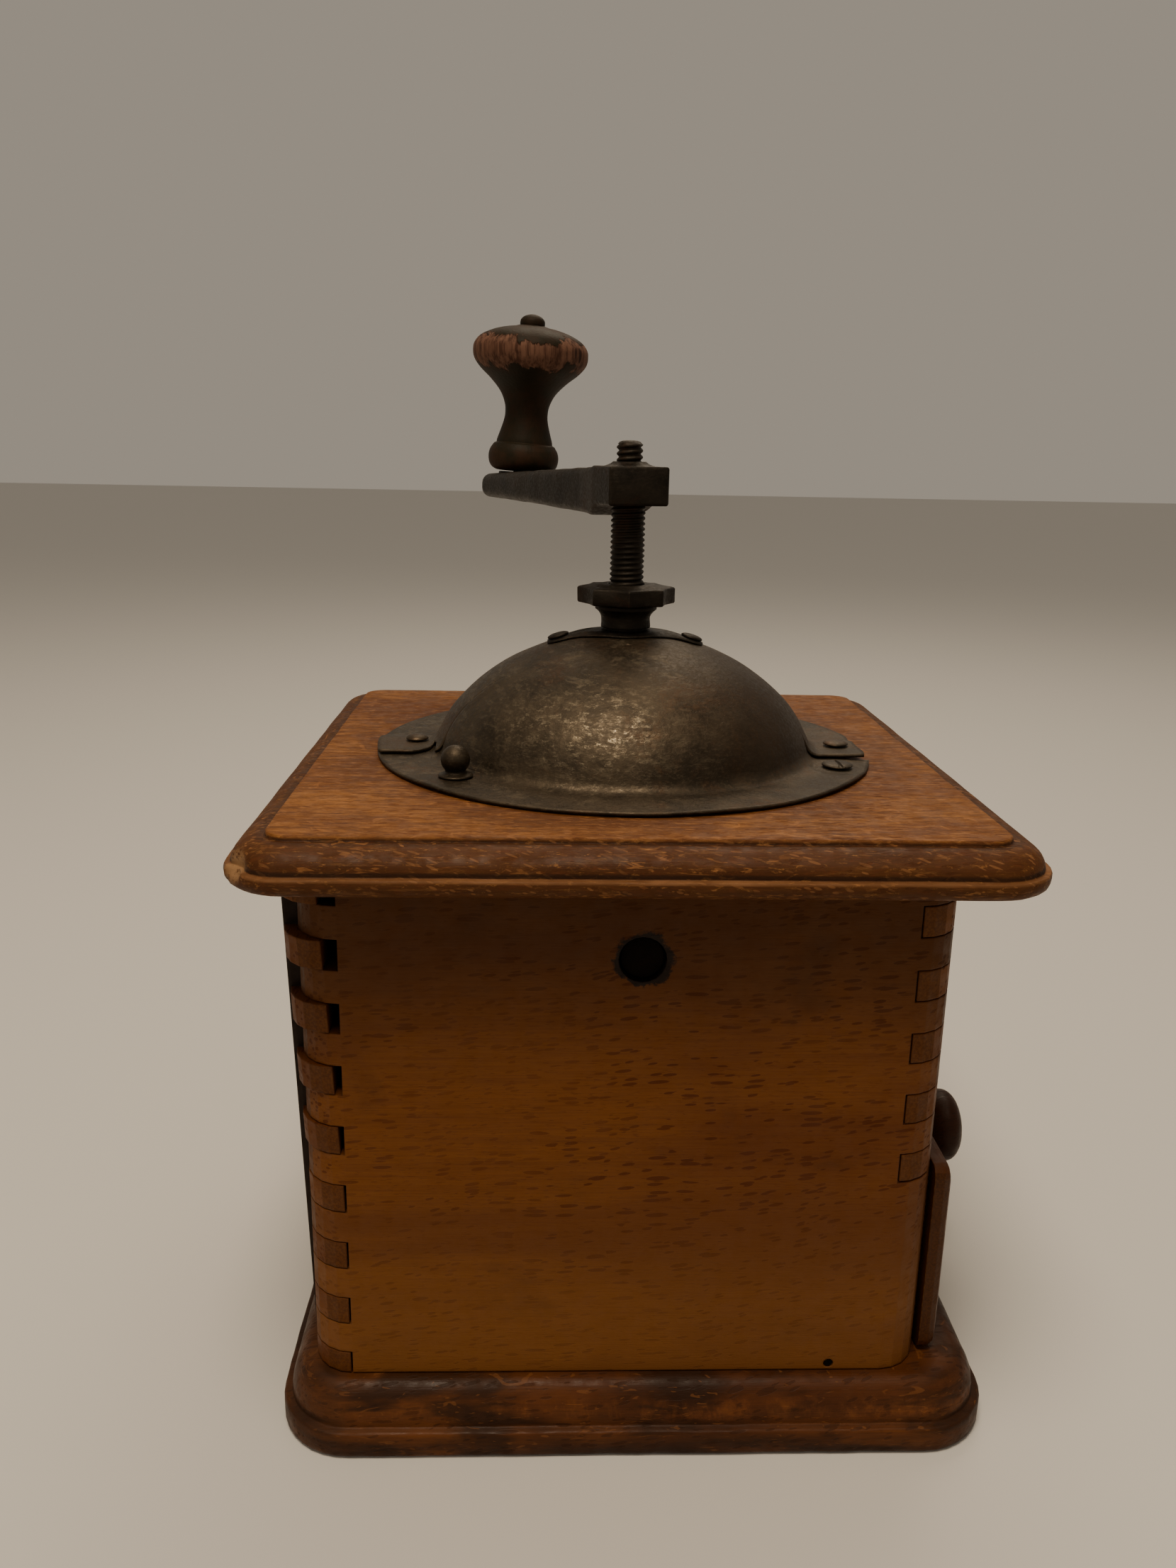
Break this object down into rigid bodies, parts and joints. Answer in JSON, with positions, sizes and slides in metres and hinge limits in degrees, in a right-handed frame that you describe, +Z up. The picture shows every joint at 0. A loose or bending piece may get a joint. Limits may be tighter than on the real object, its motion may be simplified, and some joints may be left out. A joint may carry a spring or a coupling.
{
  "type": "hand crank coffee grinder",
  "caption": "Wooden box coffee mill with finger-jointed case, drawer, domed steel hopper with a swing door, cast burrs and a crank with a turned wooden grip.",
  "frame": {"origin": "on the spindle axis, at the underside of the base plate", "axes": "+Z up along the spindle, +X out of the drawer front, -Y out of the side board that carries the door half of the hopper"},
  "size_m": [0.1688, 0.197, 0.2428],
  "materials": {
    "case_wood": "oiled beech, aged orange-brown, short dark flecks along the grain",
    "lid_wood": "reddish varnished beech, worn along the moulded edge",
    "base_wood": "dark reddish-brown stained wood with worn highlights",
    "drawer_wood": "varnished beech, darkened",
    "inner_wood": "bare, coffee-stained wood",
    "grip_wood": "worn dark paint with bare wood round the widest part",
    "hopper_steel": "dark patinated sheet steel, worn bright in patches, some rust",
    "iron": "near-black oily iron",
    "fastener_steel": "dull old steel"
  },
  "bodies": {
    "case": {"base_plate": "base_wood", "base_screw_1": "fastener_steel", "base_screw_2": "fastener_steel", "base_screw_3": "fastener_steel", "base_screw_4": "fastener_steel", "side_board_near": "case_wood", "side_board_far": "case_wood", "back_board": "case_wood", "front_board": "case_wood", "side_screw_near": "fastener_steel", "side_screw_far": "fastener_steel", "case_nail_near": "fastener_steel", "case_nail_far": "fastener_steel", "lid_board": "lid_wood", "hopper_rear": "hopper_steel", "catch_screw": "fastener_steel", "side_flange_screw": "fastener_steel", "rear_flange_screw_1": "fastener_steel", "rear_flange_screw_2": "fastener_steel", "door_pivot_screw": "fastener_steel", "crown_strap": "hopper_steel", "strap_rivet_left": "fastener_steel", "strap_rivet_right": "fastener_steel", "bearing_collar": "iron", "mill_crossboard": "inner_wood", "bean_funnel": "hopper_steel", "outer_burr": "iron", "burr_screw_1": "fastener_steel", "burr_screw_2": "fastener_steel", "spindle_bridge": "iron", "bridge_screw_1": "fastener_steel", "bridge_screw_2": "fastener_steel"},
    "nut": {"adjusting_nut": "iron"},
    "spindle_set": {"spindle": "iron", "inner_burr": "iron", "cone_lock_nut": "fastener_steel", "crank_arm": "iron", "grip_pin": "iron"},
    "grip": {"grip": "grip_wood"},
    "door": {"hopper_door": "hopper_steel", "door_knob": "fastener_steel"},
    "drawer": {"drawer_front": "drawer_wood", "drawer_side_near": "inner_wood", "drawer_side_far": "inner_wood", "drawer_back": "inner_wood", "drawer_bottom": "inner_wood", "drawer_knob": "drawer_wood", "knob_screw": "fastener_steel"}
  },
  "joints": [
    {"name": "crank_turn", "type": "hinge", "parent": "case", "child": "nut", "pos_m": [0, 0, 0.1726], "axis": [0, 0, 1], "continuous": true},
    {"name": "grind_adjust", "type": "slide", "parent": "nut", "child": "spindle_set", "axis": [0, 0, 1], "range_m": [-0.002, 0.0005]},
    {"name": "grip_spin", "type": "hinge", "parent": "spindle_set", "child": "grip", "pos_m": [-0.02611, 0.1017, 0.1976], "axis": [0.0663, 0, 0.9978], "continuous": true},
    {"name": "door_swing", "type": "hinge", "parent": "case", "child": "door", "pos_m": [0.0469, -0.0205, 0.137], "axis": [0, 0, 1], "range_deg": [0, 80]},
    {"name": "drawer_slide", "type": "slide", "parent": "case", "child": "drawer", "axis": [1, 0, 0], "range_m": [0, 0.095]}
  ]
}
